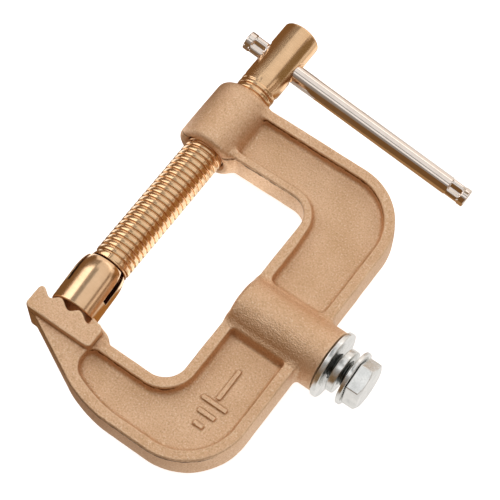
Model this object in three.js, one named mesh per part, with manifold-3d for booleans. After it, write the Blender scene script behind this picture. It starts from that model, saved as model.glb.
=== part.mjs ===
// Ground clamp: a C-shaped cast brass welding earth clamp with a clamping screw and a cable bolt.
// Millimetres. X runs along the arms from the screw to the spine, Y along the screw from the anvil
// to its head, Z through the thickness. Everything is laid out from the screw's axis at x = z = 0 and
// the crests of the anvil's teeth near y = 4. The whole clamp is then moved so that the origin is the
// middle of its bounding box's bottom face.
import * as THREE from 'three';
import { mergeVertices } from 'three/addons/utils/BufferGeometryUtils.js';
import Module from 'manifold-3d';

const wasm = await Module();
wasm.setup();

// ---- driving dimensions ----
const GAP = 0.3;                 // running gap between neighbouring pieces
const originX = 45.2;
const originY = 64.65;
const originZ = -19.35;

const frame = {
  halfThickness: 6.6,            // rims of the C
  halfWeb: 2.6,                  // floor of the pockets
  rim: 4.2,                      // width of the rim around each pocket
  draft: 0.8,                    // how far a pocket wall leans in from rim to floor
  top: 115.5,                    // outer face of the upper arm
  jawTop: 90,                    // inner face of the upper arm
  jawBottom: 0.8,                // inner face of the lower arm
  bottom: -24,                   // outer face of the lower arm
  throat: 49.5,                  // inner face of the spine
  back: 82.3,                    // outer face of the spine
  outerRadius: 26,
  innerRadius: 9,
  tipX: -10.4,                   // where the lower arm ends under the anvil
  tipY: -5.3,
  slantEndX: 27,                 // where its slanted underside meets the outer face
};

const anvil = {
  left: -12.6,
  right: 17.5,
  base: -6,
  front: 9.8,                    // its front stands proud of the rims, and its rear is nearly flush
  rear: -6.8,
  toothPitch: 8.8,
  toothMiddle: 2.8,
  toothHeight: 1.15,             // crest and valley lie this far from the middle
  toothRise: 0.4,                // share of the pitch from a valley to the crest on its right
  valleyX: 2.1,
  firstPitch: 7.8,               // the tooth at the tip is a little shorter
  stepsPerTooth: 8,
  rampEnd: 21.5,
};

const boss = { radius: 12.6, edge: 1.4, bottomEdge: 2, bottom: 87.5, top: 116.3, mouthRadius: 9.2 };
const cableBoss = { y: 44.2, radius: 12.6, end: 89.3, edge: 1.4, boreRadius: 5.3, boreEnd: 58 };

const thread = {
  pitch: 2.5,
  radius: 8,
  depth: 1.25,
  crest: 0.9,                    // width of the flat on top of a turn
  root: 1.6,                     // width of a turn at its foot
  clearance: 0.25,
  segments: 16,
};

const screw = {
  ballY: 14.5,
  ballRadius: 6.4,
  neckRadius: 4.2,
  threadStart: 27.4,
  shoulder: 125.6,
  top: 153.3,
  headRadius: 8.1,
  headChamfer: 0.9,
  holeRadius: 4.2,
};

const pad = {
  radius: 9.7,
  faceBelowBall: 9.8,
  topAboveBall: 12.3,
  topRadius: 7.8,
  mouthRadius: 5.8,
  domeAboveBall: 5,              // where the collar starts to curve in
  slots: 3,
  slotWidth: 1.7,
  slotBelowBall: 0.5,            // where a slot ends
  slotTurn: 60,                  // degrees from +Z to the first slot
  tilt: 3.5,                     // degrees that the loose pad leans on its ball
};

const bar = {
  y: 138.2,
  radius: 3.9,
  start: -16.2,
  end: 91.7,
  turn: 9.7,                     // degrees that the long end lies below the frame's plane
  crimpIn: 2.8,                  // from a tip to its crimp
  crimpLength: 5,
  crimpCorner: 4.6,
  chamfer: 0.5,
};

const cableBolt = {
  shankRadius: 4.95,
  shankEnd: 62,
  headStart: 101.2,
  headEnd: 107,
  acrossCorners: 19.6,
  chamferRadius: 8.4,
  cornerTurn: 15,                // degrees from +Y to a corner, about +X
};
const washerBore = 5.4;
const largeWasher = { from: 90, to: 92, radius: 13.7 };
const smallWasher = { from: 99.3, to: 100.9, radius: 11.1 };
const springWasher = {
  from: 93,
  wire: 2.6,                     // thickness along the bolt
  rise: 1.8,                     // from the start of the turn to its end
  radius: 9.1,
  splitTurn: 40,                 // degrees from +Y to the split, about +X
  turns: 0.97,
  segments: 40,
};

// A raised earth symbol on the lower pocket's floor: a stem, and three bars, the longest first.
const symbol = {
  x: 65.6,
  top: 21.5,
  height: 0.7,
  line: 2.4,
  stem: 15,
  bars: [11.4, 8, 4.6],
  spacing: 4.9,
};

// ---- materials ----
const castBrass = new THREE.MeshStandardMaterial({ color: 0xc79a6b, roughness: 0.55, metalness: 0.9 });
const turnedBrass = new THREE.MeshStandardMaterial({ color: 0xd0a468, roughness: 0.3, metalness: 1 });
const polishedBrass = new THREE.MeshStandardMaterial({ color: 0xdcb488, roughness: 0.2, metalness: 1 });
const nickelPlate = new THREE.MeshStandardMaterial({ color: 0xe2dcd6, roughness: 0.12, metalness: 1 });
const zincPlate = new THREE.MeshStandardMaterial({ color: 0xd3d5d4, roughness: 0.25, metalness: 1 });

// ---- solids ----
const radians = THREE.MathUtils.degToRad;

function solid(geometry) {
  const bare = geometry.clone();
  bare.deleteAttribute('normal');
  bare.deleteAttribute('uv');
  const merged = mergeVertices(bare, 1e-4);
  return new wasm.Manifold(new wasm.Mesh({
    numProp: 3,
    vertProperties: merged.attributes.position.array,
    triVerts: new Uint32Array(merged.index.array),
  }));
}

function geometryOf(manifold) {
  const mesh = manifold.getMesh();
  const geometry = new THREE.BufferGeometry();
  geometry.setAttribute('position', new THREE.BufferAttribute(mesh.vertProperties, 3));
  geometry.setIndex(new THREE.BufferAttribute(mesh.triVerts, 1));
  const flat = geometry.toNonIndexed();
  flat.computeVertexNormals();
  return flat;
}

function named(name, manifold, material) {
  const mesh = new THREE.Mesh(geometryOf(manifold), material);
  mesh.name = name;
  return mesh;
}

// A turned solid about Y from [radius, y] points that start and end on the axis.
function turned(points, segments) {
  return solid(new THREE.LatheGeometry(points.map(([r, y]) => new THREE.Vector2(r, y)), segments));
}

// The same about X, with the points as [radius, x].
function turnedAlongX(points, segments, y) {
  const lathe = new THREE.LatheGeometry(points.map(([r, x]) => new THREE.Vector2(r, x)), segments);
  lathe.rotateZ(-Math.PI / 2);
  lathe.translate(0, y, 0);
  return solid(lathe);
}

// A closed ring about X with a rectangular section.
function ringAlongX({ from, to, radius }, bore, y, segments) {
  return turnedAlongX([[bore, from], [radius, from], [radius, to], [bore, to], [bore, from]], segments, y);
}

function prism(shape, low, high, curveSegments = 10) {
  const geometry = new THREE.ExtrudeGeometry(shape, { depth: high - low, bevelEnabled: false, curveSegments });
  geometry.translate(0, 0, low);
  return solid(geometry);
}

function box(low, high) {
  const size = high.map((value, i) => value - low[i]);
  const middle = high.map((value, i) => (value + low[i]) / 2);
  const geometry = new THREE.BoxGeometry(...size);
  geometry.translate(...middle);
  return solid(geometry);
}

// A section of [radius, y] points, anticlockwise, wound around Y. A positive rise is a right-hand helix.
function coil(section, { turns, rise, segments, start = 0 }) {
  const steps = Math.round(turns * segments);
  const corners = section.length;
  const positions = [];
  for (let step = 0; step <= steps; step += 1) {
    const turn = step / segments;
    const angle = start + 2 * Math.PI * turn;
    for (const [r, y] of section) {
      positions.push(r * Math.sin(angle), y + rise * turn, r * Math.cos(angle));
    }
  }
  const index = [];
  for (let step = 0; step < steps; step += 1) {
    for (let corner = 0; corner < corners; corner += 1) {
      const a = step * corners + corner;
      const b = step * corners + (corner + 1) % corners;
      index.push(a, a + corners, b, b, a + corners, b + corners);
    }
  }
  const last = steps * corners;
  for (let corner = 1; corner < corners - 1; corner += 1) {
    index.push(0, corner, corner + 1, last, last + corner + 1, last + corner);
  }
  const geometry = new THREE.BufferGeometry();
  geometry.setAttribute('position', new THREE.Float32BufferAttribute(positions, 3));
  geometry.setIndex(index);
  return solid(geometry);
}

// A threaded rod about Y: one band of thread, a pitch wide, wound so that each turn's edge meets the
// next. Clearance makes it the larger, for cutting the hole that it turns in.
function threadedRod(from, to, clearance) {
  const { pitch, segments } = thread;
  const rootRadius = thread.radius - thread.depth + clearance;
  const crestRadius = thread.radius + clearance;
  const halfCrest = thread.crest / 2 + clearance;
  const halfRoot = thread.root / 2 + clearance;
  const profile = [
    [rootRadius, -halfRoot],
    [crestRadius, -halfCrest],
    [crestRadius, halfCrest],
    [rootRadius, halfRoot],
  ];
  const first = Math.floor(from / pitch) - 1;
  const turns = Math.ceil(to / pitch) + 1 - first;
  const steps = turns * segments;
  const corners = profile.length;
  const positions = [];
  for (let step = 0; step <= steps; step += 1) {
    const angle = 2 * Math.PI * step / segments;
    for (const [r, y] of profile) {
      positions.push(r * Math.sin(angle), y + pitch * (first + step / segments), r * Math.cos(angle));
    }
  }
  const at = (step, corner) => step * corners + corner;
  const index = [];
  const quad = (a, b, c, d) => index.push(a, b, c, a, c, d);
  for (let step = 0; step < steps; step += 1) {
    for (let corner = 0; corner < corners - 1; corner += 1) {
      quad(at(step, corner), at(step + 1, corner), at(step + 1, corner + 1), at(step, corner + 1));
    }
    if (step + segments < steps) {
      const last = corners - 1;
      quad(at(step, last), at(step + 1, last), at(step + 1 + segments, 0), at(step + segments, 0));
    }
  }
  // Each end is closed by a fan around a point on the axis.
  const lowEdge = [];
  const highEdge = [];
  for (let step = 0; step <= segments; step += 1) {
    lowEdge.push(at(step, 0));
    highEdge.push(at(steps - step, corners - 1));
  }
  for (let corner = corners - 1; corner > 0; corner -= 1) {
    lowEdge.push(at(0, corner));
    highEdge.push(at(steps, corners - 1 - corner));
  }
  for (const [edge, y] of [[lowEdge, pitch * first], [highEdge, pitch * (first + turns)]]) {
    const middle = positions.length / 3;
    positions.push(0, y, 0);
    edge.forEach((corner, i) => index.push(middle, edge[(i + 1) % edge.length], corner));
  }
  const geometry = new THREE.BufferGeometry();
  geometry.setAttribute('position', new THREE.Float32BufferAttribute(positions, 3));
  geometry.setIndex(index);
  const outline = [
    [0, from],
    [rootRadius, from],
    [crestRadius + 0.2, from + thread.depth],
    [crestRadius + 0.2, to],
    [0, to],
  ];
  return solid(geometry).intersect(turned(outline, segments));
}

// ---- frame ----
function frameOutline() {
  const f = frame;
  const outer = f.outerRadius;
  const inner = f.innerRadius;
  const shape = new THREE.Shape();
  shape.moveTo(f.tipX, f.tipY);
  shape.lineTo(f.slantEndX, f.bottom);
  shape.absarc(f.back - outer, f.bottom + outer, outer, -Math.PI / 2, 0, false);
  shape.absarc(f.back - outer, f.top - outer, outer, 0, Math.PI / 2, false);
  shape.lineTo(0, f.top);
  shape.lineTo(0, f.jawTop);
  shape.absarc(f.throat - inner, f.jawTop - inner, inner, Math.PI / 2, 0, true);
  shape.absarc(f.throat - inner, f.jawBottom + inner, inner, 0, -Math.PI / 2, true);
  shape.lineTo(f.tipX, f.jawBottom);
  shape.closePath();
  return shape;
}

// The pocket in the upper arm and spine, `inset` further in than its rim.
function upperPocket(inset) {
  const f = frame;
  const edge = f.rim + inset;
  const outer = f.outerRadius - edge;
  const inner = f.innerRadius + edge;
  const shape = new THREE.Shape();
  shape.moveTo(0, f.top - edge);
  shape.lineTo(0, f.jawTop + edge);
  shape.absarc(f.throat - f.innerRadius, f.jawTop - f.innerRadius, inner, Math.PI / 2, 0, true);
  shape.lineTo(f.throat + edge, cableBoss.y);
  shape.lineTo(f.back - edge, cableBoss.y);
  shape.absarc(f.back - f.outerRadius, f.top - f.outerRadius, outer, 0, Math.PI / 2, false);
  shape.closePath();
  return shape;
}

// The pocket in the lower arm and spine. Its tip is rounded and follows the slanted underside.
function lowerPocket(inset) {
  const f = frame;
  const edge = f.rim + inset;
  const outer = f.outerRadius - edge;
  const inner = f.innerRadius + edge;
  const slant = Math.atan2(f.tipY - f.bottom, f.slantEndX - f.tipX);
  const tip = 3.6 - inset * 0.5;
  const tipX = 19.8;
  const tipY = f.jawBottom - edge - tip;
  const floorY = f.bottom + edge;
  const shape = new THREE.Shape();
  shape.moveTo(f.back - edge, cableBoss.y);
  shape.lineTo(f.throat + edge, cableBoss.y);
  shape.absarc(f.throat - f.innerRadius, f.jawBottom + f.innerRadius, inner, 0, -Math.PI / 2, true);
  shape.absarc(tipX, tipY, tip, Math.PI / 2, 1.5 * Math.PI - slant, false);
  const along = (tipY - tip * Math.cos(slant) - floorY) / Math.tan(slant);
  shape.lineTo(tipX - tip * Math.sin(slant) + along, floorY);
  shape.absarc(f.back - f.outerRadius, f.bottom + f.outerRadius, outer, -Math.PI / 2, 0, false);
  shape.closePath();
  return shape;
}

// Joins two outlines of the same number of points, one at each height, into a closed solid.
function loft(lowShape, lowZ, highShape, highZ) {
  const low = lowShape.extractPoints(8).shape;
  const high = highShape.extractPoints(8).shape;
  const count = low.length;
  const positions = [];
  low.forEach((point) => positions.push(point.x, point.y, lowZ));
  high.forEach((point) => positions.push(point.x, point.y, highZ));
  const index = [];
  for (let i = 0; i < count; i += 1) {
    const next = (i + 1) % count;
    index.push(i, next, count + i, next, count + next, count + i);
  }
  THREE.ShapeUtils.triangulateShape(low, []).forEach(([a, b, c]) => index.push(a, c, b));
  THREE.ShapeUtils.triangulateShape(high, []).forEach(([a, b, c]) => {
    index.push(count + a, count + b, count + c);
  });
  const geometry = new THREE.BufferGeometry();
  geometry.setAttribute('position', new THREE.Float32BufferAttribute(positions, 3));
  geometry.setIndex(index);
  const made = solid(geometry);
  return made.volume() > 0 ? made : solid(geometry.clone().setIndex(index.slice().reverse()));
}

function pocket(outline) {
  const f = frame;
  const depth = f.halfThickness - f.halfWeb;
  const over = 1;
  const floor = outline(f.draft);
  const mouth = outline(-f.draft * over / depth);
  const front = loft(floor, f.halfWeb, mouth, f.halfThickness + over);
  return front.add(front.mirror([0, 0, 1]));
}

// Each tooth rises fast on its left side and falls slowly on its right.
function toothHeightAt(x) {
  const firstValley = anvil.valleyX - anvil.toothPitch;
  const pitches = x < firstValley
    ? (x - firstValley) / anvil.firstPitch
    : (x - firstValley) / anvil.toothPitch;
  const along = pitches - Math.floor(pitches);
  const rise = anvil.toothRise;
  const phase = along < rise ? 0.5 * along / rise : 0.5 + 0.5 * (along - rise) / (1 - rise);
  return anvil.toothMiddle - anvil.toothHeight * Math.cos(2 * Math.PI * phase);
}

function anvilBlock() {
  const { left, right, base } = anvil;
  const corner = 1.2;
  const steps = Math.round((right - left) / anvil.toothPitch * anvil.stepsPerTooth);
  const shape = new THREE.Shape();
  shape.moveTo(left, base + corner);
  shape.lineTo(left + corner, base);
  shape.lineTo(right - corner, base);
  shape.lineTo(right, base + corner);
  for (let step = 0; step <= steps; step += 1) {
    const x = right + (left - right) * step / steps;
    shape.lineTo(x, toothHeightAt(x));
  }
  shape.closePath();
  const block = prism(shape, anvil.rear, anvil.front);
  const ramp = new THREE.Shape();
  ramp.moveTo(right - 2, frame.jawBottom - 1);
  ramp.lineTo(anvil.rampEnd, frame.jawBottom - 1);
  ramp.lineTo(anvil.rampEnd, frame.jawBottom);
  ramp.lineTo(anvil.rampEnd - 1.7, frame.jawBottom + 2);
  ramp.lineTo(right - 2, toothHeightAt(right) - 0.2);
  ramp.closePath();
  return block.add(prism(ramp, -frame.halfThickness, frame.halfThickness));
}

function screwBoss() {
  const { radius, edge, bottomEdge, bottom, top } = boss;
  return turned([
    [0, bottom],
    [radius - bottomEdge, bottom],
    [radius - 0.3 * bottomEdge, bottom + 0.3 * bottomEdge],
    [radius, bottom + bottomEdge],
    [radius, top - 1.5 * edge],
    [radius - 0.4 * edge, top - 0.6 * edge],
    [radius - 1.8 * edge, top],
    [0, top],
  ], 48);
}

function cableBossCylinder() {
  const { y, radius, end, edge } = cableBoss;
  const start = frame.throat + 0.1;
  return turnedAlongX([
    [0, start],
    [radius - edge, start],
    [radius - 0.3 * edge, start + 0.3 * edge],
    [radius, start + edge],
    [radius, end],
    [0, end],
  ], 48, y);
}

function earthSymbol() {
  const { x, top, line, stem, bars, spacing } = symbol;
  const low = frame.halfWeb - 0.5;
  const high = frame.halfWeb + symbol.height;
  const stemBox = box([x - line / 2, top - stem, low], [x + line / 2, top, high]);
  return bars.reduce((made, length, i) => {
    const y = top - stem - i * spacing;
    return made.add(box([x - length / 2, y - line, low], [x + length / 2, y, high]));
  }, stemBox);
}

// The cone that opens one mouth of the threaded hole.
function countersink(y, inward) {
  const deep = boss.mouthRadius - thread.radius + thread.depth;
  const outward = boss.mouthRadius + 1;
  const points = [
    [0, y - inward],
    [outward, y - inward],
    [boss.mouthRadius - deep, y + inward * deep],
    [0, y + inward * deep],
  ];
  return turned(inward > 0 ? points : points.reverse(), 48);
}

function clampFrame() {
  const bore = cableBoss.boreEnd;
  const tip = cableBoss.boreRadius / Math.tan(radians(59));
  const cableBore = turnedAlongX([
    [0, bore - tip],
    [cableBoss.boreRadius, bore],
    [cableBoss.boreRadius, cableBoss.end + 1],
    [0, cableBoss.end + 1],
  ], 32, cableBoss.y);
  return prism(frameOutline(), -frame.halfThickness, frame.halfThickness, 14)
    .subtract(pocket(upperPocket))
    .subtract(pocket(lowerPocket))
    .add(earthSymbol())
    .add(screwBoss())
    .add(cableBossCylinder())
    .add(anvilBlock())
    .subtract(threadedRod(boss.bottom - 2 * thread.pitch, boss.top + thread.pitch, thread.clearance))
    .subtract(countersink(boss.bottom, 1))
    .subtract(countersink(boss.top, -1))
    .subtract(cableBore);
}

// ---- clamping screw, its pad and its tommy bar ----
function alongBar(manifold) {
  return manifold.rotate([0, bar.turn, 0]).translate([0, bar.y, 0]);
}

function clampingScrew() {
  const s = screw;
  const points = [[0, s.ballY - s.ballRadius]];
  const neckAngle = Math.asin(s.neckRadius / s.ballRadius);
  const steps = 10;
  for (let step = 1; step <= steps; step += 1) {
    const angle = (Math.PI - neckAngle) * step / steps;
    points.push([s.ballRadius * Math.sin(angle), s.ballY - s.ballRadius * Math.cos(angle)]);
  }
  const foot = turned([
    ...points,
    [s.neckRadius, s.threadStart - 1],
    [s.neckRadius + 1, s.threadStart],
    [s.neckRadius + 1, s.threadStart + 1],
    [0, s.threadStart + 1],
  ], 32);
  const head = turned([
    [0, s.shoulder],
    [s.headRadius, s.shoulder],
    [s.headRadius, s.top - s.headChamfer],
    [s.headRadius - s.headChamfer, s.top],
    [0, s.top],
  ], 48);
  const hole = turnedAlongX([
    [0, -s.headRadius - 2],
    [s.holeRadius, -s.headRadius - 2],
    [s.holeRadius, s.headRadius + 2],
    [0, s.headRadius + 2],
  ], 32, 0);
  return foot
    .add(threadedRod(s.threadStart, s.shoulder, 0))
    .add(head)
    .subtract(alongBar(hole));
}

function swivelPad() {
  const p = pad;
  const cavity = screw.ballRadius + GAP;
  const mouth = Math.asin(p.mouthRadius / cavity);
  const points = [
    [0, -p.faceBelowBall],
    [p.radius - 0.6, -p.faceBelowBall],
    [p.radius, -p.faceBelowBall + 0.6],
    [p.radius, p.domeAboveBall],
  ];
  const domeSteps = 5;
  for (let step = 1; step <= domeSteps; step += 1) {
    const share = step / domeSteps;
    const r = p.topRadius + (p.radius - p.topRadius) * Math.cos(share * Math.PI / 2);
    points.push([r, p.domeAboveBall + (p.topAboveBall - p.domeAboveBall) * Math.sin(share * Math.PI / 2)]);
  }
  points.push([p.mouthRadius, p.topAboveBall]);
  const cavitySteps = 8;
  for (let step = 0; step <= cavitySteps; step += 1) {
    const angle = mouth + (Math.PI - mouth) * step / cavitySteps;
    points.push([cavity * Math.sin(angle), cavity * Math.cos(angle)]);
  }
  points[points.length - 1][0] = 0;
  let body = turned(points, 40);
  for (let slot = 0; slot < p.slots; slot += 1) {
    const cut = box([-p.slotWidth / 2, -p.slotBelowBall, 3], [p.slotWidth / 2, p.topAboveBall + 1, p.radius + 1]);
    body = body.subtract(cut.rotate([0, p.slotTurn + 360 * slot / p.slots, 0]));
  }
  return body.rotate([0, 0, p.tilt]).translate([0, screw.ballY, 0]);
}

function tommyBar() {
  const { radius, start, end, chamfer, crimpIn, crimpLength, crimpCorner } = bar;
  const rod = turnedAlongX([
    [0, start],
    [radius - chamfer, start],
    [radius, start + chamfer],
    [radius, end - chamfer],
    [radius - chamfer, end],
    [0, end],
  ], 32, 0);
  const crimps = [start + crimpIn, end - crimpIn - crimpLength];
  const made = crimps.reduce((rest, from) => {
    const to = from + crimpLength;
    const collar = turnedAlongX([[0, from], [radius + 2, from], [radius + 2, to], [0, to]], 32, 0);
    const flats = turnedAlongX([
      [0, from],
      [radius - 0.1, from],
      [crimpCorner, from + 1],
      [crimpCorner, to - 1],
      [radius - 0.1, to],
      [0, to],
    ], 4, 0);
    return rest.subtract(collar).add(flats);
  }, rod);
  return alongBar(made);
}

// ---- cable bolt and washers ----
function hexBolt() {
  const b = cableBolt;
  const corner = b.acrossCorners / 2;
  const hexagon = new THREE.CylinderGeometry(corner, corner, b.headEnd - b.headStart, 6);
  hexagon.rotateZ(-Math.PI / 2);
  hexagon.rotateX(radians(b.cornerTurn));
  hexagon.translate((b.headStart + b.headEnd) / 2, cableBoss.y, 0);
  const chamferDepth = (corner - b.chamferRadius) * Math.tan(radians(30));
  const limit = turnedAlongX([
    [0, b.headStart - 1],
    [corner + 1, b.headStart - 1],
    [corner + 1, b.headEnd - chamferDepth - 0.6],
    [b.chamferRadius, b.headEnd],
    [0, b.headEnd],
  ], 48, cableBoss.y);
  const shank = turnedAlongX([
    [0, b.shankEnd],
    [b.shankRadius - 1, b.shankEnd],
    [b.shankRadius, b.shankEnd + 1],
    [b.shankRadius, b.headStart + 1],
    [0, b.headStart + 1],
  ], 32, cableBoss.y);
  return solid(hexagon).intersect(limit).add(shank);
}

function splitWasher() {
  const w = springWasher;
  const section = [[washerBore, 0], [w.radius, 0], [w.radius, w.wire], [washerBore, w.wire]];
  const made = coil(section, { turns: w.turns, rise: -w.rise, segments: w.segments });
  return made
    .translate([0, w.rise * w.turns, 0])
    .rotate([0, 0, -90])
    .rotate([w.splitTurn, 0, 0])
    .translate([w.from, cableBoss.y, 0]);
}

// ---- assembly ----
const clamp = new THREE.Group();
clamp.position.set(-originX, -originY, -originZ);
clamp.add(
  named('clamp_frame', clampFrame(), castBrass),
  named('clamping_screw', clampingScrew(), turnedBrass),
  named('swivel_pad', swivelPad(), polishedBrass),
  named('tommy_bar', tommyBar(), nickelPlate),
  named('cable_bolt', hexBolt(), zincPlate),
  named('large_flat_washer', ringAlongX(largeWasher, washerBore, cableBoss.y, 48), zincPlate),
  named('spring_washer', splitWasher(), zincPlate),
  named('small_flat_washer', ringAlongX(smallWasher, washerBore, cableBoss.y, 48), zincPlate),
);

export default clamp;
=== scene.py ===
import math

import bpy
import numpy as np
from mathutils import Matrix, Vector


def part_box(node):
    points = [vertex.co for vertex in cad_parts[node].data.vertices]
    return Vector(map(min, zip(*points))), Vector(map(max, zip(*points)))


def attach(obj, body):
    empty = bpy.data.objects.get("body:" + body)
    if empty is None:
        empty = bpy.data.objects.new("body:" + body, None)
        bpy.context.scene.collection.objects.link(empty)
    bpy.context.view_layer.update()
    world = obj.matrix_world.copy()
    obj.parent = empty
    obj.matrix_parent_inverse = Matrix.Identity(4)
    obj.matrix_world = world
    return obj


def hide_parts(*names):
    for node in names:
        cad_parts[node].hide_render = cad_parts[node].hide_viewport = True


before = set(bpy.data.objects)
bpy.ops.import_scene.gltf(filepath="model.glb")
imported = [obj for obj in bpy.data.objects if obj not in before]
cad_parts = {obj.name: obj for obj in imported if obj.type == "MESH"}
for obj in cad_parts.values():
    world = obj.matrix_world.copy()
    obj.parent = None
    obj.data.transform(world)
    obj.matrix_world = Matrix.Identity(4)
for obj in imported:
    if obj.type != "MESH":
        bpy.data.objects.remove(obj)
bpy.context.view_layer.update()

# ---------------------------------------------------------------- layout
# Shapes are drawn in millimetres in the clamp's own layout: the screw's axis is x = z = 0, y runs
# along it from the anvil to its head, and y = 0 is 24 mm above the lower arm's outer face.
MM = 0.001
LOWER_FACE = -24.0
frame_low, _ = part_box("clamp_frame")
screw_low, screw_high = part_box("clamping_screw")
ORIGIN = np.array([
    (screw_low[0] + screw_high[0]) / 2,
    frame_low[1] - LOWER_FACE * MM,
    (screw_low[2] + screw_high[2]) / 2,
])

BALL_Y = 14.5  # the ball end of the screw, inside the pad
BAR_Y = 138.2  # the tommy bar, through the screw's head
BAR_TURN = math.radians(9.7)
BOLT_Y = 44.2  # the axis of the cable bolt, which points to +x
RIM_Z = 5.5  # where the casting's parting line runs, under its front rim

RANDOM = np.random.default_rng(11)


def place(points):
    """Layout millimetres to metres in the frame's axes."""
    return np.asarray(points, float) * MM + ORIGIN


# ---------------------------------------------------------------- meshes
def new_mesh(name, points, faces):
    mesh = bpy.data.meshes.new(name)
    mesh.from_pydata(place(points).tolist(), [], [list(map(int, f)) for f in faces])
    return mesh


def new_piece(name, points, faces, body, replaced, material, normals=None):
    mesh = new_mesh(name, points, faces)
    mesh.validate()
    mesh.shade_smooth()
    if normals is not None:
        mesh.normals_split_custom_set_from_vertices(normals.tolist())
    mesh.materials.append(material)
    piece = bpy.data.objects.new(name, mesh)
    bpy.context.scene.collection.objects.link(piece)
    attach(piece, body)
    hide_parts(replaced)
    return piece


def round_max(a, b, r):
    """Both solids at once, with the edge between them rounded to r."""
    corner = np.hypot(np.maximum(a + r, 0), np.maximum(b + r, 0))
    return np.minimum(-r, np.maximum(a, b)) + corner


def round_min(a, b, r):
    """Either solid, with a fillet of r between them."""
    corner = np.hypot(np.maximum(r - a, 0), np.maximum(r - b, 0))
    return np.maximum(r, np.minimum(a, b)) - corner


def round_box(x, y, low, high, r):
    """The distance to a rectangle with corners of radius r, inside it negative."""
    dx = np.abs(x - (low[0] + high[0]) / 2) - (high[0] - low[0]) / 2 + r
    dy = np.abs(y - (low[1] + high[1]) / 2) - (high[1] - low[1]) / 2 + r
    return np.minimum(np.maximum(dx, dy), 0) + np.hypot(np.maximum(dx, 0), np.maximum(dy, 0)) - r


def ramp(value, low, high):
    """Rises smoothly from 0 to 1 between low and high."""
    t = np.clip((value - low) / (high - low), 0, 1)
    return t * t * (3 - 2 * t)


LATTICE = RANDOM.uniform(-1, 1, (32, 32, 32))


def wobble(points, size):
    """Smooth noise of -1 to 1 whose lumps are about `size` across."""
    q = points / size
    base = np.floor(q).astype(int)
    t = q - base
    t = t * t * (3 - 2 * t)
    total = 0
    for i in (0, 1):
        for j in (0, 1):
            for k in (0, 1):
                weight = (t[..., 0] if i else 1 - t[..., 0])
                weight = weight * (t[..., 1] if j else 1 - t[..., 1])
                weight = weight * (t[..., 2] if k else 1 - t[..., 2])
                index = (base + (i, j, k)) % 32
                total = total + weight * LATTICE[index[..., 0], index[..., 1], index[..., 2]]
    return total


def slope_of(field, points, h=0.03):
    """The field's gradient at the points."""
    slope = np.empty_like(points)
    for axis in range(3):
        offset = np.zeros(3)
        offset[axis] = h
        slope[:, axis] = (field(points + offset) - field(points - offset)) / (2 * h)
    return slope


def settle(field, points, limit, rounds=4):
    """Moves points onto the surface where the field is zero."""
    for _ in range(rounds):
        slope = slope_of(field, points)
        step = field(points)[:, None] * slope / np.maximum((slope ** 2).sum(1), 0.2)[:, None]
        points = points - np.clip(step, -limit, limit)
    return points


def surface_net(field, low, high, step, relax=3):
    """A closed quad mesh of the surface where the field is zero, inside it negative."""
    low = np.array(low, float)
    cells = np.ceil((np.array(high) - low) / step).astype(int)
    lines = [low[i] + step * np.arange(cells[i] + 1) for i in range(3)]
    grid = np.stack(np.meshgrid(*lines, indexing="ij"), axis=-1)
    values = field(grid)
    inside = values < 0
    total = np.zeros((*cells, 3))
    count = np.zeros(cells)
    crossings = []
    for axis in range(3):
        u, v = (axis + 1) % 3, (axis + 2) % 3
        first = [slice(None)] * 3
        second = [slice(None)] * 3
        first[axis] = slice(None, -1)
        second[axis] = slice(1, None)
        a, b = values[tuple(first)], values[tuple(second)]
        cross = inside[tuple(first)] != inside[tuple(second)]
        share = np.where(cross, a / np.where(cross, a - b, 1), 0)
        points = grid[tuple(first)].copy()
        points[..., axis] += step * share
        crossings.append((cross, inside[tuple(first)]))
        for du in (0, 1):
            for dv in (0, 1):
                part = [slice(None)] * 3
                part[u] = slice(du, du + cells[u])
                part[v] = slice(dv, dv + cells[v])
                part = tuple(part)
                total += np.where(cross[part][..., None], points[part], 0)
                count += cross[part]
    active = count > 0
    number = np.full(tuple(cells), -1)
    number[active] = np.arange(active.sum())
    vertices = total[active] / count[active][:, None]
    faces = []
    for axis in range(3):
        u, v = (axis + 1) % 3, (axis + 2) % 3
        cross, from_inside = crossings[axis]
        at = np.argwhere(cross)
        at = at[(at[:, u] > 0) & (at[:, v] > 0) & (at[:, u] < cells[u]) & (at[:, v] < cells[v])]
        outward = from_inside[tuple(at.T)]
        corners = []
        for du, dv in ((1, 1), (0, 1), (0, 0), (1, 0)):
            cell = at.copy()
            cell[:, u] -= du
            cell[:, v] -= dv
            corners.append(number[tuple(cell.T)])
        quads = np.stack(corners, axis=1)
        quads[~outward] = quads[~outward][:, ::-1]
        faces.append(quads)
    faces = np.concatenate(faces)
    vertices = settle(field, vertices, step)
    for _ in range(relax):
        around = np.zeros_like(vertices)
        near = np.zeros(len(vertices))
        for i in range(4):
            np.add.at(around, faces[:, i], vertices[faces[:, (i + 1) % 4]] + vertices[faces[:, i - 1]])
            np.add.at(near, faces[:, i], 2)
        moved = 0.5 * vertices + 0.5 * around / near[:, None]
        vertices = settle(field, moved, step, rounds=2)
    normals = slope_of(field, vertices, 0.06)
    normals /= np.linalg.norm(normals, axis=1)[:, None]
    return vertices, faces, normals


def turn_y(radius, y, angle):
    """A point at a radius around the y axis. The angle grows from +z towards +x."""
    return np.stack([radius * np.sin(angle), y + 0 * angle, radius * np.cos(angle)], axis=-1)


def full_turn(segments):
    return np.arange(segments) * 2 * math.pi / segments


def add_ring(points, radius, y, segments):
    """Adds a ring around the y axis to the points. On the axis, it is one point over and over."""
    if radius == 0:
        points.append((0, y, 0))
        return [len(points) - 1] * segments
    points.extend(turn_y(radius, y, full_turn(segments)).tolist())
    return list(range(len(points) - segments, len(points)))


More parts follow.
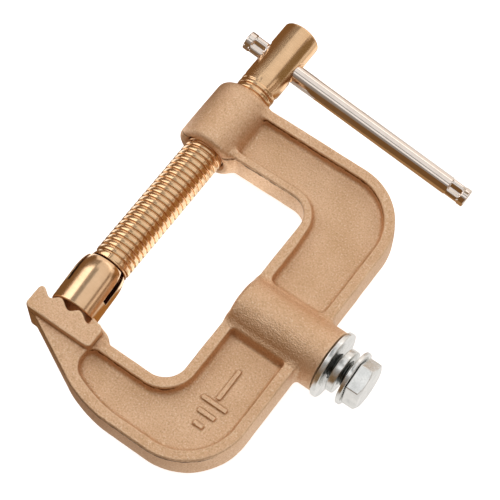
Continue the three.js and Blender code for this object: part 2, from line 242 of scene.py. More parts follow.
def skin(rings):
    """The faces between each ring and the next."""
    faces = []
    for lower, upper in zip(rings, rings[1:]):
        for j in range(len(lower)):
            k = (j + 1) % len(lower)
            faces.append(list(dict.fromkeys([lower[j], lower[k], upper[k], upper[j]])))
    return faces


def lathe(profile, segments, closed=False):
    """A turned solid from (radius, y) points. It is closed on the axis, or as a ring."""
    points = []
    rings = [add_ring(points, radius, y, segments) for radius, y in profile]
    if closed:
        rings.append(rings[0])
    return np.array(points), skin(rings)


def arc(centre, radius, start, end, steps):
    """(radius, y) points on an arc. Angles are in degrees from +radius towards +y."""
    angles = np.radians(np.linspace(start, end, steps))
    return [(centre[0] + radius * math.cos(a), centre[1] + radius * math.sin(a)) for a in angles]


def mirrored(profile):
    """(radius, offset) points followed by their mirror image, in the opposite order."""
    return profile + [(radius, -offset) for radius, offset in reversed(profile)]


def threaded_shaft(below, above, profile, pitch, start, turns, segments, fade_in, fade_out):
    """A turned shaft with a true helical thread between its lower and upper profiles.

    profile holds (radius, offset) points over one pitch. At each end the thread fades, over part of
    a turn, to the radius of the profile that it meets.
    """
    points = []
    low_rings = [add_ring(points, radius, y, segments) for radius, y in below]
    high_rings = [add_ring(points, radius, y, segments) for radius, y in above]
    faces = skin(low_rings) + skin(high_rings)
    steps = turns * segments
    count = len(profile)
    low_radius, high_radius = below[-1][0], above[0][0]

    def faded(radius, step):
        into = float(ramp(step / segments, 0, fade_in))
        out = float(ramp((steps - step) / segments, 0, fade_out))
        radius = low_radius + (radius - low_radius) * into
        return high_radius + (radius - high_radius) * out

    def add_point(radius, offset, step):
        turn = step / segments
        y = start + pitch * turn + offset
        points.append(turn_y(faded(radius, step), y, np.array(2 * math.pi * turn)).tolist())

    first = len(points)
    for step in range(steps + 1):
        for radius, offset in profile:
            add_point(radius, offset, step)
    top = len(points)
    for step in range(steps - segments + 1, steps + 1):
        add_point(profile[0][0], profile[0][1] + pitch, step)

    def on(step, i):
        """The number of a profile point. The one past the last is the next turn's first."""
        if i < count:
            return first + step * count + i
        if step + segments <= steps:
            return first + (step + segments) * count
        return top + step - (steps - segments + 1)

    for step in range(steps):
        for i in range(count):
            faces.append([on(step, i), on(step + 1, i), on(step + 1, i + 1), on(step, i + 1)])
    low_ring, high_ring = low_rings[-1], high_rings[0]
    for j in range(segments - 1):
        faces.append([low_ring[j], low_ring[j + 1], on(j + 1, 0), on(j, 0)])
    last = [low_ring[-1], low_ring[0]] + [on(0, i) for i in range(count + 1)]
    faces.append(last + [on(segments - 1, 0)])
    base = steps - segments
    faces.append([on(base, count), on(base + 1, count), high_ring[1], high_ring[0]]
                 + [on(steps, i) for i in range(count, 0, -1)])
    for j in range(1, segments):
        faces.append([on(base + j, count), on(base + j + 1, count),
                      high_ring[(j + 1) % segments], high_ring[j]])
    return np.array(points), faces


def spin_to_x(points, y):
    """From a shape around the y axis to one around the x axis at height y."""
    points = np.asarray(points)
    return np.stack([points[:, 1], y - points[:, 0], points[:, 2]], axis=1)


def along_bar(points):
    """From a shape around the x axis through the origin to one around the tommy bar's axis."""
    c, s = math.cos(BAR_TURN), math.sin(BAR_TURN)
    points = np.asarray(points)
    x = points[:, 0] * c + points[:, 2] * s
    z = points[:, 2] * c - points[:, 0] * s
    return np.stack([x, points[:, 1] + BAR_Y, z], axis=1)


def cut_out(piece, points, faces):
    """Cuts a solid out of a piece."""
    tool = bpy.data.objects.new("tool", new_mesh("tool", points, faces))
    bpy.context.scene.collection.objects.link(tool)
    modifier = piece.modifiers.new("cut", "BOOLEAN")
    modifier.operation = "DIFFERENCE"
    modifier.solver = "EXACT"
    modifier.object = tool
    bpy.context.view_layer.update()
    made = bpy.data.meshes.new_from_object(piece.evaluated_get(bpy.context.evaluated_depsgraph_get()))
    piece.modifiers.clear()
    piece.data = made
    bpy.data.objects.remove(tool)


# ---------------------------------------------------------------- materials
def node_material(name, color, roughness, metallic=1.0):
    material = bpy.data.materials.new(name)
    material.use_nodes = True
    shader = material.node_tree.nodes["Principled BSDF"]
    shader.inputs["Base Color"].default_value = (*color, 1)
    shader.inputs["Roughness"].default_value = roughness
    shader.inputs["Metallic"].default_value = metallic
    return material, material.node_tree, shader


def add(tree, kind, **values):
    node = tree.nodes.new(kind)
    for key, value in values.items():
        if key in node.inputs:
            node.inputs[key].default_value = value
        else:
            setattr(node, key, value)
    return node


def noise(tree, vector, size_mm, detail=2.0, rough=0.5):
    node = add(tree, "ShaderNodeTexNoise")
    node.inputs["Scale"].default_value = 1 / (size_mm * MM)
    node.inputs["Detail"].default_value = detail
    node.inputs["Roughness"].default_value = rough
    tree.links.new(vector, node.inputs["Vector"])
    return node.outputs["Fac"]


def remap(tree, value, low, high, to_low, to_high):
    """Carries low to high over to to_low to to_high, in a straight line, and holds it outside."""
    node = add(tree, "ShaderNodeMapRange")
    tree.links.new(value, node.inputs["Value"])
    for name, number in (("From Min", low), ("From Max", high), ("To Min", to_low), ("To Max", to_high)):
        node.inputs[name].default_value = number
    return node.outputs["Result"]


def mix_color(tree, factor, a, b):
    node = add(tree, "ShaderNodeMix", data_type="RGBA")
    tree.links.new(factor, node.inputs["Factor"])
    for socket, value in ((node.inputs[6], a), (node.inputs[7], b)):
        if isinstance(value, tuple):
            socket.default_value = (*value, 1)
        else:
            tree.links.new(value, socket)
    return node.outputs[2]


def bump(tree, height, strength, distance_mm, normal=None):
    node = add(tree, "ShaderNodeBump")
    node.inputs["Strength"].default_value = strength
    node.inputs["Distance"].default_value = distance_mm * MM
    tree.links.new(height, node.inputs["Height"])
    if normal is not None:
        tree.links.new(normal, node.inputs["Normal"])
    return node.outputs["Normal"]


def math_node(tree, operation, a, b=0):
    node = add(tree, "ShaderNodeMath", operation=operation)
    for socket, value in zip(node.inputs, (a, b)):
        if isinstance(value, (int, float)):
            socket.default_value = value
        else:
            tree.links.new(value, socket)
    return node.outputs[0]


def split_xyz(tree, vector):
    node = add(tree, "ShaderNodeSeparateXYZ")
    tree.links.new(vector, node.inputs[0])
    return node.outputs


def parting_line_shade(tree, where, lumps):
    """Painted shade along the parting line, as of a narrow crevice there, on the sides that face down
    the screw's axis.

    It is left off the cable boss, where it would look like a crack.
    """
    at = split_xyz(tree, where)
    facing = split_xyz(tree, add(tree, "ShaderNodeNewGeometry").outputs["Normal"])
    height = math_node(tree, "SUBTRACT", at["Z"], float(place((0, 0, RIM_Z))[2]))
    height = math_node(tree, "ADD", height, remap(tree, lumps, 0.3, 0.7, -0.35 * MM, 0.35 * MM))
    line = remap(tree, math_node(tree, "ABSOLUTE", height), 0.22 * MM, 0.62 * MM, 1, 0)
    side = remap(tree, facing["Y"], -0.45, -0.7, 0, 1)
    patchy = remap(tree, lumps, 0.35, 0.55, 0.35, 0.95)
    aside = math_node(tree, "SUBTRACT", at["Y"], float(place((0, BOLT_Y, 0))[1]))
    off_boss = remap(tree, math_node(tree, "ABSOLUTE", aside), 26 * MM, 32 * MM, 0, 1)
    side = math_node(tree, "MULTIPLY", side, off_boss)
    return math_node(tree, "MULTIPLY", math_node(tree, "MULTIPLY", line, side), patchy)


def cast_brass():
    """Sand-cast brass: patches of two tones, dark pits, pale flecks and bright edges, with painted shade
    in the hollow corners and along the parting line.
    """
    brown, pale = (0.74, 0.482, 0.29), (0.83, 0.566, 0.366)
    pit, fleck, worn_edge = (0.42, 0.225, 0.095), (0.96, 0.80, 0.63), (0.92, 0.70, 0.48)
    # The two colours on this line are painted shade: one for hollow corners, one for the crevice along
    # the parting line.
    corner, crevice_shade = (0.32, 0.14, 0.05), (0.12, 0.045, 0.012)
    material, tree, shader = node_material("cast_brass", (0.66, 0.42, 0.24), 0.45)
    where = add(tree, "ShaderNodeTexCoord").outputs["Object"]
    grain = noise(tree, where, 0.66, 3.0, 0.65)
    lumps = noise(tree, where, 2.4, 3.0, 0.6)
    patches = noise(tree, where, 13.0, 3.0)
    tone = mix_color(tree, remap(tree, patches, 0.3, 0.7, 0, 1), brown, pale)
    tone = mix_color(tree, remap(tree, grain, 0.3, 0.5, 0.42, 0), tone, pit)
    tone = mix_color(tree, remap(tree, grain, 0.56, 0.7, 0, 0.7), tone, fleck)
    edge = add(tree, "ShaderNodeNewGeometry").outputs["Pointiness"]
    tone = mix_color(tree, remap(tree, edge, 0.51, 0.56, 0, 0.7), tone, worn_edge)
    # Painted shade: darker in hollow corners, where the mesh's pointiness is low.
    tone = mix_color(tree, remap(tree, edge, 0.49, 0.44, 0, 0.8), tone, corner)
    # Painted shade: a dark line along the parting line, standing in for the shade of a crevice.
    tone = mix_color(tree, parting_line_shade(tree, where, lumps), tone, crevice_shade)
    tree.links.new(tone, shader.inputs["Base Color"])
    tree.links.new(remap(tree, grain, 0.3, 0.7, 0.54, 0.4), shader.inputs["Roughness"])
    rough = bump(tree, grain, 1.0, 0.34)
    tree.links.new(bump(tree, lumps, 0.6, 0.3, rough), shader.inputs["Normal"])
    return material


def cavity_shade(tree, where, radius, low, high):
    """Where painted shade darkens the hollows: out to a radius around the screw's axis, and between two
    heights.
    """
    at = split_xyz(tree, where)
    x = math_node(tree, "SUBTRACT", at["X"], float(ORIGIN[0]))
    z = math_node(tree, "SUBTRACT", at["Z"], float(ORIGIN[2]))
    square = math_node(tree, "ADD", math_node(tree, "MULTIPLY", x, x), math_node(tree, "MULTIPLY", z, z))
    reach = math_node(tree, "SQRT", square)
    near = remap(tree, reach, (radius - 0.3) * MM, (radius + 0.3) * MM, 1, 0)
    start, end = (float(place((0, y, 0))[1]) for y in (low, high))
    above = remap(tree, at["Y"], start, start + 0.4 * MM, 0, 1)
    below = remap(tree, at["Y"], end, end + 0.4 * MM, 1, 0)
    return math_node(tree, "MULTIPLY", near, math_node(tree, "MULTIPLY", above, below))


def turned_metal(name, color, dark, roughness, spacing_mm, depth_mm, streak, shaded_cavity):
    """Metal with the lathe's fine marks around the y axis. Its painted shade lies within (radius, low,
    high).
    """
    material, tree, shader = node_material(name, color, roughness)
    where = add(tree, "ShaderNodeTexCoord").outputs["Object"]
    squeeze = add(tree, "ShaderNodeMapping", Scale=(0.06, 1.0, 0.06))
    tree.links.new(where, squeeze.inputs["Vector"])
    marks = noise(tree, squeeze.outputs["Vector"], spacing_mm, 3.0, 0.65)
    patches = noise(tree, where, 5.0, 3.0)
    tone = mix_color(tree, remap(tree, patches, 0.3, 0.75, 0, 0.5), color, dark)
    tone = mix_color(tree, remap(tree, marks, 0.45, 0.7, 0, streak), tone, dark)
    # Painted shade: darker inside the pad's hollow and on the screw's ball and neck.
    tone = mix_color(tree, cavity_shade(tree, where, *shaded_cavity), tone, CAVITY_SHADE)
    tree.links.new(tone, shader.inputs["Base Color"])
    tree.links.new(remap(tree, marks, 0.3, 0.7, roughness * 0.8, roughness * 1.25),
                   shader.inputs["Roughness"])
    tree.links.new(bump(tree, marks, 0.5, depth_mm), shader.inputs["Normal"])
    return material


def plated(name, color, dark, roughness, size_mm, depth_mm):
    """Plated metal with faint ripples, and patches of a darker tone."""
    material, tree, shader = node_material(name, color, roughness)
    where = add(tree, "ShaderNodeTexCoord").outputs["Object"]
    ripple = noise(tree, where, size_mm, 3.0)
    patches = noise(tree, where, 4.0, 2.0)
    tree.links.new(mix_color(tree, remap(tree, patches, 0.35, 0.75, 0, 0.6), color, dark),
                   shader.inputs["Base Color"])
    tree.links.new(remap(tree, ripple, 0.3, 0.7, roughness * 0.8, roughness * 1.3),
                   shader.inputs["Roughness"])
    tree.links.new(bump(tree, ripple, 0.35, depth_mm), shader.inputs["Normal"])
    return material


# The colour of the painted shade in the pad's hollow and on the screw's ball and neck.
CAVITY_SHADE = (0.28, 0.11, 0.035)
CAST = cast_brass()
# THREAD paints shade on the ball and neck below the thread, POLISHED in the pad's hollow and slots.
THREAD = turned_metal("turned_brass", (0.84, 0.57, 0.34), (0.68, 0.43, 0.23), 0.2,
                      spacing_mm=0.16, depth_mm=0.012, streak=0.4, shaded_cavity=(20, 0, 27.2))
POLISHED = turned_metal("polished_brass", (0.82, 0.56, 0.35), (0.67, 0.43, 0.24), 0.18,
                        spacing_mm=0.3, depth_mm=0.006, streak=0.3, shaded_cavity=(7.5, 7.2, 40))
NICKEL = plated("nickel_plate", (0.82, 0.73, 0.66), (0.72, 0.63, 0.56), 0.09, 1.5, 0.01)
ZINC = plated("zinc_plate", (0.82, 0.82, 0.80), (0.58, 0.59, 0.58), 0.22, 0.6, 0.04)
# A shaded copy of the zinc: painted shade for the bolt's shank in the gap between the washers.
ZINC_PAINTED_SHADE = plated("zinc_painted_shade", (0.24, 0.25, 0.24), (0.12, 0.13, 0.12), 0.3, 0.6, 0.03)


# ---------------------------------------------------------------- clamp frame
OUTER_LOW, OUTER_HIGH, OUTER_CORNER = (-60, -23.95), (82.3, 115.5), 26
THROAT_LOW, THROAT_HIGH, THROAT_CORNER = (-60, 0.8), (49.5, 90), 9
SLANT = math.atan2(18.7, 37.4)  # the outer edge that rises to the anvil
HALF_THICKNESS = 6.6
POCKET_FLOOR = 2.4
BOSS_RADIUS = 12.6
SCREW_BORE, BOLT_BORE, BOLT_BORE_END = 8.3, 5.1, 58
TOOTH_MEAN, TOOTH_SWING = 2.8, 1.15
SYMBOL_X, SYMBOL_TOP = 65.6, 3.2


def tooth_height(x):
    """The anvil's waves: each tooth rises fast on its left and falls slowly on its right."""
    t = np.mod((x + 6.7) / np.where(x < -6.7, 7.8, 8.8), 1)
    phase = np.where(t < 0.4, 0.5 * t / 0.4, 0.5 + 0.5 * (t - 0.4) / 0.6)
    return TOOTH_MEAN - TOOTH_SWING * np.cos(2 * math.pi * phase)


def symbol_outline(x, y):
    """The raised earth symbol: a stem and three bars."""
    def bar(cy, hx, hy):
        return round_box(x, y, (SYMBOL_X - hx, cy - hy), (SYMBOL_X + hx, cy + hy), 0.4)
    made = bar(14.5, 1.0, 7.0)
    for i, half in enumerate((5.6, 3.9, 2.2)):
        made = np.minimum(made, bar(5.5 - 4.9 * i, half, 1.0))
    return made


def plate_field(x, y, wide, outer, throat, slant):
    """The C's outline through the whole thickness, with a slight draft."""
    outline = np.maximum(round_max(outer, slant, 5), -throat)
    outline = round_max(outline, np.where(y > 50, -x, -12.3 - x), 1.2) + 0.02 * wide
    return round_max(outline, wide - HALF_THICKNESS, 0.7)


def pocket_field(x, y, wide, outer, throat, slant):
    """The upper and lower pockets, with walls that lean, on both sides of the web."""
    inner_rim = 4.3 - 1.1 * ramp(y, 70, 90)
    upper = np.maximum(outer + 4.3, inner_rim - throat)
    upper = np.maximum(round_max(upper, 55.4 - y, 3.2), 6 - x)
    lower = np.maximum(outer + 4.4, 4.4 - throat)
    lower = round_max(round_max(lower, slant + 4.9, 5), 16.2 - x, 4)
    lower = round_max(lower, y - 32.8, 1.6)
    walls = np.minimum(upper, lower) + 0.16 * (HALF_THICKNESS - wide)
    return round_max(walls, POCKET_FLOOR - wide, 1.7)


def anvil_block_field(x, y, z):
    block = round_max((y - tooth_height(x)) * 0.85, -12.6 - x, 0.9)
    block = round_max(block, x - 17.3, 1.1)
    return round_max(round_max(block, -6.0 - y, 1.8), np.abs(z - 1.5) - 8.3, 0.5)


def anvil_shoulder_field(x, y, wide):
    """The low ramp behind the anvil block, on the arm."""
    top = (y - 4.1 + 0.3 * (x - 16.1)) * 0.96
    right = (x - 19.8) * 0.79 + (y - 2.8) * 0.61
    shoulder = round_max(top, right, 1.0)
    return round_max(np.maximum(np.maximum(shoulder, 10 - x), -3 - y), wide - 6.4, 0.9)


def frame_field(p):
    x, y, z = p[..., 0], p[..., 1], p[..., 2]
    wide = np.abs(z)
    outer = round_box(x, y, OUTER_LOW, OUTER_HIGH, OUTER_CORNER)
    throat = round_box(x, y, THROAT_LOW, THROAT_HIGH, THROAT_CORNER)
    slant = -(x + 10.4) * math.sin(SLANT) - (y + 5.3) * math.cos(SLANT)
    plate = plate_field(x, y, wide, outer, throat, slant)
    body = round_max(plate, -pocket_field(x, y, wide, outer, throat, slant), 0.55)
    mark = round_max(symbol_outline(x, y) + 0.2 * (z - POCKET_FLOOR), z - SYMBOL_TOP, 0.25)
    body = round_min(body, np.maximum(mark, 1 - z), 0.35)

    screw_turn = np.hypot(x, z)
    boss = round_max(round_max(screw_turn - BOSS_RADIUS, y - 116.3, 3.4), 87.4 - y, 2.3)
    body = round_min(body, boss, 2.2)
    bolt_turn = np.hypot(y - BOLT_Y, z)
    cable_boss = round_max(round_max(bolt_turn - BOSS_RADIUS, x - 89.3, 0.4), 49.6 - x, 2.2)
    body = round_min(body, cable_boss, 1.8)
    body = body + 0.07 * wobble(p, 6.5) + 0.03 * wobble(p + 100, 2.4)

    body = round_min(body, anvil_shoulder_field(x, y, wide), 0.8)
    body = round_min(body, anvil_block_field(x, y, z) + 0.02 * wobble(p, 3), 0.3)

    mouth = np.clip(np.maximum(88.5 - y, y - 115.8), 0, 1.5)
    body = np.maximum(body, np.minimum(SCREW_BORE + mouth - screw_turn, y - 80))
    bore = np.minimum(BOLT_BORE + np.clip(x - 88.5, 0, 2) - bolt_turn, x - BOLT_BORE_END)
    return np.maximum(body, bore)


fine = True
points, faces, normals = surface_net(
    frame_field, (-14, -25.5, -14), (91, 118.5, 14), 0.5 if fine else 0.8)
new_piece("frame_casting", points, faces, "frame", "clamp_frame", CAST, normals)


# ---------------------------------------------------------------- clamping screw
BALL_RADIUS = 6.4
NECK_RADIUS = 4.2
THREAD_RADIUS = 8.0
THREAD_ROOT = 7.25
THREAD_PITCH = 2.5
THREAD_START, THREAD_TURNS = 28.9, 38
HEAD_RADIUS, HEAD_TOP, HEAD_EDGE = 8.1, 153.3, 0.9

ball_angle = math.degrees(math.acos(NECK_RADIUS / BALL_RADIUS))
below = [(0, BALL_Y - BALL_RADIUS)]
below += arc((0, BALL_Y), BALL_RADIUS, -84, ball_angle, 20)
below += [(NECK_RADIUS, 24.0), (NECK_RADIUS, 26.2), (4.6, 26.9), (7.2, 27.3), (7.7, 27.4), (7.9, 27.6)]
above = [(HEAD_RADIUS, y) for y in (125.8, 130, 134, 142, 148)]
above += arc((HEAD_RADIUS - HEAD_EDGE, HEAD_TOP - HEAD_EDGE), HEAD_EDGE, 0, 90, 6) + [(0, HEAD_TOP)]
thread_profile = [(THREAD_ROOT, -THREAD_PITCH / 2)] + mirrored([
    (THREAD_ROOT, -1.05), (7.35, -1.01), (7.75, -0.91), (7.9, -0.83), (7.96, -0.65),
    (THREAD_RADIUS, -0.25),
])
points, faces = threaded_shaft(below, above, thread_profile, THREAD_PITCH, THREAD_START, THREAD_TURNS,
                               segments=72, fade_in=0.3, fade_out=0.3)
screw = new_piece("screw_body", points, faces, "screw", "clamping_screw", THREAD)
points, faces = lathe(mirrored([(0, -12), (5.6, -12), (5.3, -8.2), (4.3, -7.0), (4.2, -6.4)]), 64)
cut_out(screw, along_bar(spin_to_x(points, 0)), faces)


# ---------------------------------------------------------------- swivel pad
PAD_TILT = math.radians(3.5)
SLOT_DEGREES = (70, 190, 310)
SLOT_HALF_WIDTH, SLOT_BOTTOM = 1.25, -1.6


def pad_field(p):
    """A dome with a flat foot, hollow for the ball, and slotted down from its collar."""
    c, s = math.cos(PAD_TILT), math.sin(PAD_TILT)
    dx, dy = p[..., 0], p[..., 1] - BALL_Y
    x, y, z = dx * c + dy * s, dy * c - dx * s, p[..., 2]
    turn = np.hypot(x, z)
    dome = np.clip((y - 4.5) / 8.0, 0, 0.999)
    side = 7.6 + 2.1 * np.sqrt(1 - dome ** 2)
    body = (turn - side) * np.where(y > 4.5, 0.9, 1)
    body = round_max(round_max(body, y - 12.3, 0.45), -9.8 - y, 0.7)
    socket = np.sqrt(turn ** 2 + y ** 2) - 6.7
    collar = np.maximum(turn - 5.8 - np.maximum(0, y - 11.4), -y)
    body = round_max(body, -np.minimum(socket, collar), 0.2)
    for degrees in SLOT_DEGREES:
        a = math.radians(degrees)
        out = x * math.sin(a) + z * math.cos(a)
        side_way = x * math.cos(a) - z * math.sin(a)
        slot = np.maximum(np.abs(side_way) - SLOT_HALF_WIDTH, SLOT_BOTTOM - y)
        slot = np.maximum(slot, 3 - out)
        body = round_max(body, -slot, 0.15)
    return body


points, faces, normals = surface_net(
    pad_field, (-11.5, 3, -10.5), (11.5, 28.5, 10.5), 0.25 if fine else 0.45)
new_piece("pad_cup", points, faces, "pad", "swivel_pad", POLISHED, normals)


# ---------------------------------------------------------------- tommy bar
BAR_START, BAR_END = -16.2, 91.7
BAR_RADIUS, BAR_EDGE = 3.9, 0.6
BAR_CRIMP = math.radians(70)


def bar_mesh(segments=96):
    """A rod with four dents pressed in around each end, and the metal between them pushed out."""
    stations = list(np.linspace(0, 0.6, 5)) + list(np.linspace(0.8, 9.6, 45))
    along = [BAR_START + s for s in stations]
    along += list(np.linspace(BAR_START + 11, BAR_END - 11, 12))
    along += [BAR_END - s for s in reversed(stations)]
    angle = full_turn(segments)
    points = [(BAR_START, 0, 0)]
    rings = [[0] * segments]
    for s in along:
        from_end = min(s - BAR_START, BAR_END - s)
        past_edge = BAR_EDGE - min(from_end, BAR_EDGE)
        radius = BAR_RADIUS - BAR_EDGE + math.sqrt(max(0, BAR_EDGE ** 2 - past_edge ** 2))
        crimped = float(ramp(from_end, 2.6, 3.6) * ramp(8.9 - from_end, 0, 0.7))
        wave = np.cos(4 * (angle - BAR_CRIMP))
        local = radius + crimped * np.where(wave > 0, 0.5 * wave, 1.15 * wave)
        rings.append(list(range(len(points), len(points) + segments)))
        ring = np.stack([s + 0 * angle, local * np.cos(angle), local * np.sin(angle)], axis=1)
        points += ring.tolist()
    rings.append([len(points)] * segments)
    points.append((BAR_END, 0, 0))
    return np.array(points), skin(rings)


points, faces = bar_mesh()
new_piece("sliding_bar", along_bar(points), faces, "bar", "tommy_bar", NICKEL)


# ---------------------------------------------------------------- cable bolt and washers
HEX_HALF_WIDTH, HEX_START, HEX_END = 8.5, 101.2, 107.0
HEX_CHAMFER_RADIUS = 8.3
BOLT_PITCH, BOLT_ROOT, BOLT_CREST = 1.5, 4.1, 4.93
WASHER_HOLE = 5.4


def bolt_head_field(p):
    x, y, z = p[..., 0], p[..., 1] - BOLT_Y, p[..., 2]
    flats = []
    for degrees in (45, 105, 165):
        a = math.radians(degrees)
        flats.append(np.abs(y * math.cos(a) + z * math.sin(a)) - HEX_HALF_WIDTH)
    head = round_max(round_max(flats[0], flats[1], 0.25), flats[2], 0.25)
    head = round_max(head, x - HEX_END, 0.15)
    chamfer = (x - HEX_END) * 0.866 + (np.hypot(y, z) - HEX_CHAMFER_RADIUS) * 0.5
    head = round_max(head, chamfer, 0.15)
    return round_max(head, HEX_START - x, 0.2)


points, faces, normals = surface_net(
    bolt_head_field, (100.2, 33, -11), (108, 55.5, 11), 0.2 if fine else 0.35)
new_piece("bolt_head", points, faces, "bolt", "cable_bolt", ZINC, normals)

bolt_profile = [(BOLT_ROOT, -BOLT_PITCH / 2)] + mirrored([
    (BOLT_ROOT, -0.62), (4.22, -0.52), (4.82, -0.17), (BOLT_CREST, -0.07),
])
below = [(0, 62), (3.3, 62), (BOLT_ROOT, 62.9)]
above = [(BOLT_ROOT, 99.9), (4.9, 100.6), (4.9, 101.9), (0, 101.9)]
points, faces = threaded_shaft(below, above, bolt_profile, BOLT_PITCH, start=64.0, turns=23,
                               segments=48, fade_in=0.5, fade_out=0.5)
# The shank wears the dark zinc copy, as painted shade in the gap between the washers.
new_piece("bolt_shank", spin_to_x(points, BOLT_Y), faces, "bolt", "cable_bolt", ZINC_PAINTED_SHADE)


def flat_washer(name, start, end, radius, body, node):
    edge, inner_edge = 0.35, 0.2
    inner = WASHER_HOLE + inner_edge
    profile = arc((inner, start + inner_edge), inner_edge, 180, 270, 4)
    profile += arc((radius - edge, start + edge), edge, 270, 360, 6)
    profile += arc((radius - edge, end - edge), edge, 0, 90, 6)
    profile += arc((inner, end - inner_edge), inner_edge, 90, 180, 4)
    points, faces = lathe(profile, 128, closed=True)
    return new_piece(name, spin_to_x(points, BOLT_Y), faces, body, node, ZINC)


flat_washer("washer_large", 90.0, 92.0, 13.7, "large_washer", "large_flat_washer")
flat_washer("washer_small", 99.3, 100.9, 11.1, "small_washer", "small_flat_washer")


def split_washer(foot, segments=120):
    """A spring washer: a bent bar of square section that climbs a little in its one turn."""
    inner, outer, thick, edge = WASHER_HOLE, 9.1, 2.9, 0.4
    turns, rise, split_at = 0.97, 1.5, math.radians(215)
    section = []
    for cx, cy, start in ((outer - edge, edge, 270), (outer - edge, thick - edge, 0),
                          (inner + edge, thick - edge, 90), (inner + edge, edge, 180)):
        section += arc((cx, cy), edge, start, start + 90, 4)
    count = len(section)
    steps = int(turns * segments)
    points = []
    for step in range(steps + 1):
        turn = turns * step / steps
        for radius, y in section:
            a = 2 * math.pi * turn
            points.append(turn_y(radius, y + rise * (turns - turn), np.array(a)).tolist())
    faces = []
    for step in range(steps):
        for i in range(count):
            a, b = step * count + i, step * count + (i + 1) % count
            faces.append([a, a + count, b + count, b])
    faces.append(list(range(count)))
    faces.append([steps * count + i for i in reversed(range(count))])
    x, y, z = spin_to_x(points, 0).T
    c, s = math.cos(split_at), math.sin(split_at)
    return np.stack([x + foot, y * c - z * s + BOLT_Y, y * s + z * c], axis=1), faces


points, faces = split_washer(foot=93.0)
new_piece("washer_spring", points, faces, "spring_washer", "spring_washer", ZINC)


# ---------------------------------------------------------------- floor, light and camera
# The metal reflects cards, softboxes and a dim warm room, as it did in the photograph's studio. Their
# colours are how bright they look, where 1 is white.
GLOOM = (0.22, 0.13, 0.06)


def stage_plane(name, low, high, z, material):
    """A flat card on the stage, with its corners in metres."""
    mesh = bpy.data.meshes.new(name)
    corners = [(low[0], low[1]), (high[0], low[1]), (high[0], high[1]), (low[0], high[1])]
    mesh.from_pydata([(x, y, z) for x, y in corners], [], [(0, 1, 2, 3)])
    mesh.materials.append(material)
    plane = bpy.data.objects.new(name, mesh)
    bpy.context.scene.collection.objects.link(plane)
    return plane


def floor():
    """The white floor that the camera sees. The metal sees the bounce card instead."""
    material, _, shader = node_material("floor_white", (0.9, 0.9, 0.9), 0.7, 0.0)
    shader.inputs["Emission Color"].default_value = (1, 1, 1, 1)
    shader.inputs["Emission Strength"].default_value = 0.8
    plane = stage_plane("floor", (-2, -2), (2, 2), -0.0005, material)
    plane.visible_glossy = False
    plane.visible_diffuse = False


def glow_material(name, color, one_sided=False):
    """A material that only gives light. A one-sided one is clear from behind."""
    material = bpy.data.materials.new(name)
    material.use_nodes = True
    tree = material.node_tree
    tree.nodes.clear()
    emission = add(tree, "ShaderNodeEmission", Color=(*color, 1), Strength=1.0)
    surface = emission.outputs[0]
    if one_sided:
        mix = add(tree, "ShaderNodeMixShader")
        tree.links.new(add(tree, "ShaderNodeNewGeometry").outputs["Backfacing"], mix.inputs[0])
        tree.links.new(surface, mix.inputs[1])
        tree.links.new(add(tree, "ShaderNodeBsdfTransparent").outputs[0], mix.inputs[2])
        surface = mix.outputs[0]
    tree.links.new(surface, add(tree, "ShaderNodeOutputMaterial").inputs["Surface"])
    return material, emission.inputs["Color"]


def unseen(plane):
    """Leaves a card to the reflections alone."""
    plane.visible_camera = False
    plane.visible_shadow = False
    plane.visible_diffuse = False


def bounce_card():
    """What the metal reflects from below: white around the clamp, and brown further out, except behind.

    The white is an oval around x = 0.125 m. It reaches 0.14 m to the front, 0.125 m to the sides and
    1 m to the back, and fades between 0.85 and 1.6 times that.
    """
    material, glow = glow_material("bounce", (1, 1, 1))
    tree = material.node_tree
    at = split_xyz(tree, add(tree, "ShaderNodeTexCoord").outputs["Object"])
    front = remap(tree, at["Y"], -1, 0, -1 / 0.14, 0)
    back = remap(tree, at["Y"], 0, 2, 0, 2)
    join = add(tree, "ShaderNodeCombineXYZ")
    tree.links.new(remap(tree, at["X"], -1, 1, -9, 7), join.inputs["X"])
    tree.links.new(math_node(tree, "ADD", front, back), join.inputs["Y"])
    length = add(tree, "ShaderNodeVectorMath", operation="LENGTH")
    tree.links.new(join.outputs[0], length.inputs[0])
    outside = remap(tree, length.outputs["Value"], 0.85, 1.6, 0, 1)
    tree.links.new(mix_color(tree, outside, (0.92, 0.89, 0.86), GLOOM), glow)
    unseen(stage_plane("bounce", (-2, -2), (2, 2), -0.0009, material))


def floor_card(name, low, high, color):
    """A card on the floor, with its corners in layout millimetres."""
    low, high = place((*low, 0)), place((*high, 0))
    unseen(stage_plane(name, low[:2], high[:2], -0.0002, glow_material(name, color)[0]))


def standing_card(name, low, high, facing, color):
    """A card on edge, between two layout corners, that only the side it faces can see."""
    material = glow_material(name, color, one_sided=True)[0]
    card = stage_plane(name, (-0.5, -0.5), (0.5, 0.5), 0, material)
    low, high = place(low), place(high)
    width = high[1] - low[1] if facing[0] else high[0] - low[0]
    card.scale = (width, high[2] - low[2], 1)
    card.rotation_euler = Vector(facing).to_track_quat("Z", "Y").to_euler()
    card.location = (low + high) / 2
    unseen(card)


def softbox(name, location, facing, width, height, level):
    """A rectangular light. Its level is how bright it looks, where 1 is white."""
    light = bpy.data.lights.new(name, "AREA")
    light.shape = "RECTANGLE"
    light.size = width
    light.size_y = height
    light.energy = level * math.pi * width * height
    lamp = bpy.data.objects.new(name, light)
    lamp.location = location
    lamp.rotation_euler = Vector(facing).to_track_quat("-Z", "Y").to_euler()
    lamp.visible_camera = False
    bpy.context.scene.collection.objects.link(lamp)


def ceiling(name, x0, x1, y0, y1, level):
    """A softbox that faces down from 1 m, between x0 and x1, and y0 and y1."""
    softbox(name, ((x0 + x1) / 2, (y0 + y1) / 2, 1.0), (0, 0, -1), x1 - x0, y1 - y0, level)


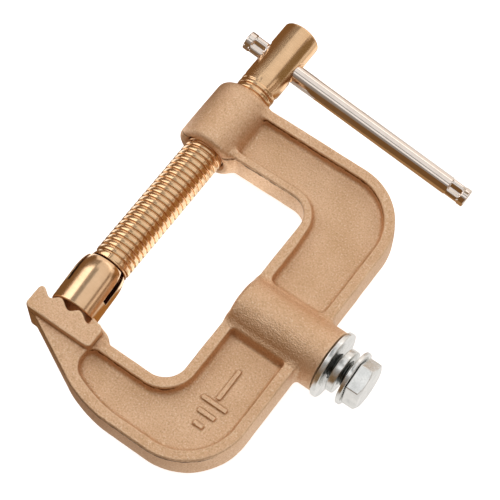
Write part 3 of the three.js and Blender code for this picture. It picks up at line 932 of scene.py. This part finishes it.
def studio_walls():
    """Dim warm walls, and a paler ceiling between the softboxes."""
    world = bpy.data.worlds.new("studio")
    world.use_nodes = True
    tree = world.node_tree
    at = split_xyz(tree, add(tree, "ShaderNodeTexCoord").outputs["Generated"])
    height = remap(tree, at["Z"], 0.35, 0.95, 0, 1)
    color = mix_color(tree, height, GLOOM, (0.36, 0.36, 0.36))
    tree.links.new(color, tree.nodes["Background"].inputs["Color"])
    bpy.context.scene.world = world


floor()
bounce_card()
floor_card("card_head", (-85, 118), (-8.5, 190), (0.24, 0.13, 0.055))
# card_pad, card_bar and card_arm are painted shade: dark cards, seen only in reflections, for the shaded
# floor in the throat and under the bar and for the arm's shaded top face.
floor_card("card_pad", (8, -8), (75, 30), (0.42, 0.22, 0.07))
floor_card("card_bar", (14, 113), (95, 134), (0.42, 0.24, 0.10))
standing_card("card_arm", (12, 117.5, -19), (96, 117.5, 8), (0, 1, 0), (0.19, 0.095, 0.035))
standing_card("card_head_right", (100, 163, -15), (100, 215, 78), (-1, 0, 0), (0.25, 0.18, 0.09))
standing_card("card_thread_left", (-40, 41, -19), (-40, 108, 1), (1, 0, 0), (1.7, 1.75, 1.85))
standing_card("card_thread_right", (28, 37, -19), (28, 88.5, -2), (-1, 0, 0), (1.5, 1.5, 1.55))
standing_card("card_thread_top", (20, 36, -1), (20, 88.5, 14), (-1, 0, 0), (0.36, 0.19, 0.07))
floor_card("card_throat", (9, 32), (27, 79), (1.7, 1.65, 1.6))
floor_card("card_under_arm", (4, 80), (47, 95), (1.12, 1.1, 1.06))
floor_card("card_under_head", (9, 136), (32, 178), (1.3, 1.2, 1.1))
studio_walls()
ceiling("top_left", -3.0, -0.54, -0.45, 0.5, 1.7)
ceiling("top", -0.12, 1.0, 0.10, 1.6, 0.62)
ceiling("top_fill", -0.46, -0.12, 0.455, 1.2, 0.6)
ceiling("top_front", -0.36, 1.0, -0.42, -0.07, 0.72)
ceiling("top_right", 1.45, 2.6, -0.6, 1.4, 0.72)
softbox("right", (2.2, 0.2, 0.3), (-1, 0, 0), 2.0, 0.5, 0.3)
softbox("back", (0, 1.7, 0.75), (0, -1, 0), 3.6, 1.5, 0.85)

# The camera stands at the photograph's angle. Its distance and aim are in layout millimetres.
AZIMUTH, ELEVATION, ROLL = math.radians(36.394), math.radians(64.034), math.radians(-0.442)
DISTANCE = 692.71
LOOK_AT = (38.862, 64.227, 0)
FOCAL_PIXELS, IMAGE_PIXELS, SENSOR_WIDTH = 1831.94, 500, 36

backward = Vector((math.sin(AZIMUTH) * math.cos(ELEVATION),
                   -math.cos(AZIMUTH) * math.cos(ELEVATION),
                   math.sin(ELEVATION)))
level = Vector((math.cos(AZIMUTH), math.sin(AZIMUTH), 0))
upward = backward.cross(level)
right = math.cos(ROLL) * level + math.sin(ROLL) * upward
upward = -math.sin(ROLL) * level + math.cos(ROLL) * upward
camera_data = bpy.data.cameras.new("camera")
camera_data.sensor_width = SENSOR_WIDTH
camera_data.lens = FOCAL_PIXELS / IMAGE_PIXELS * SENSOR_WIDTH
camera = bpy.data.objects.new("camera", camera_data)
axes = Matrix((right, upward, backward)).transposed().to_4x4()
camera.matrix_world = Matrix.Translation(Vector(place(LOOK_AT)) + backward * DISTANCE * MM) @ axes
bpy.context.scene.collection.objects.link(camera)
bpy.context.scene.camera = camera
bpy.context.scene.view_settings.view_transform = "Standard"
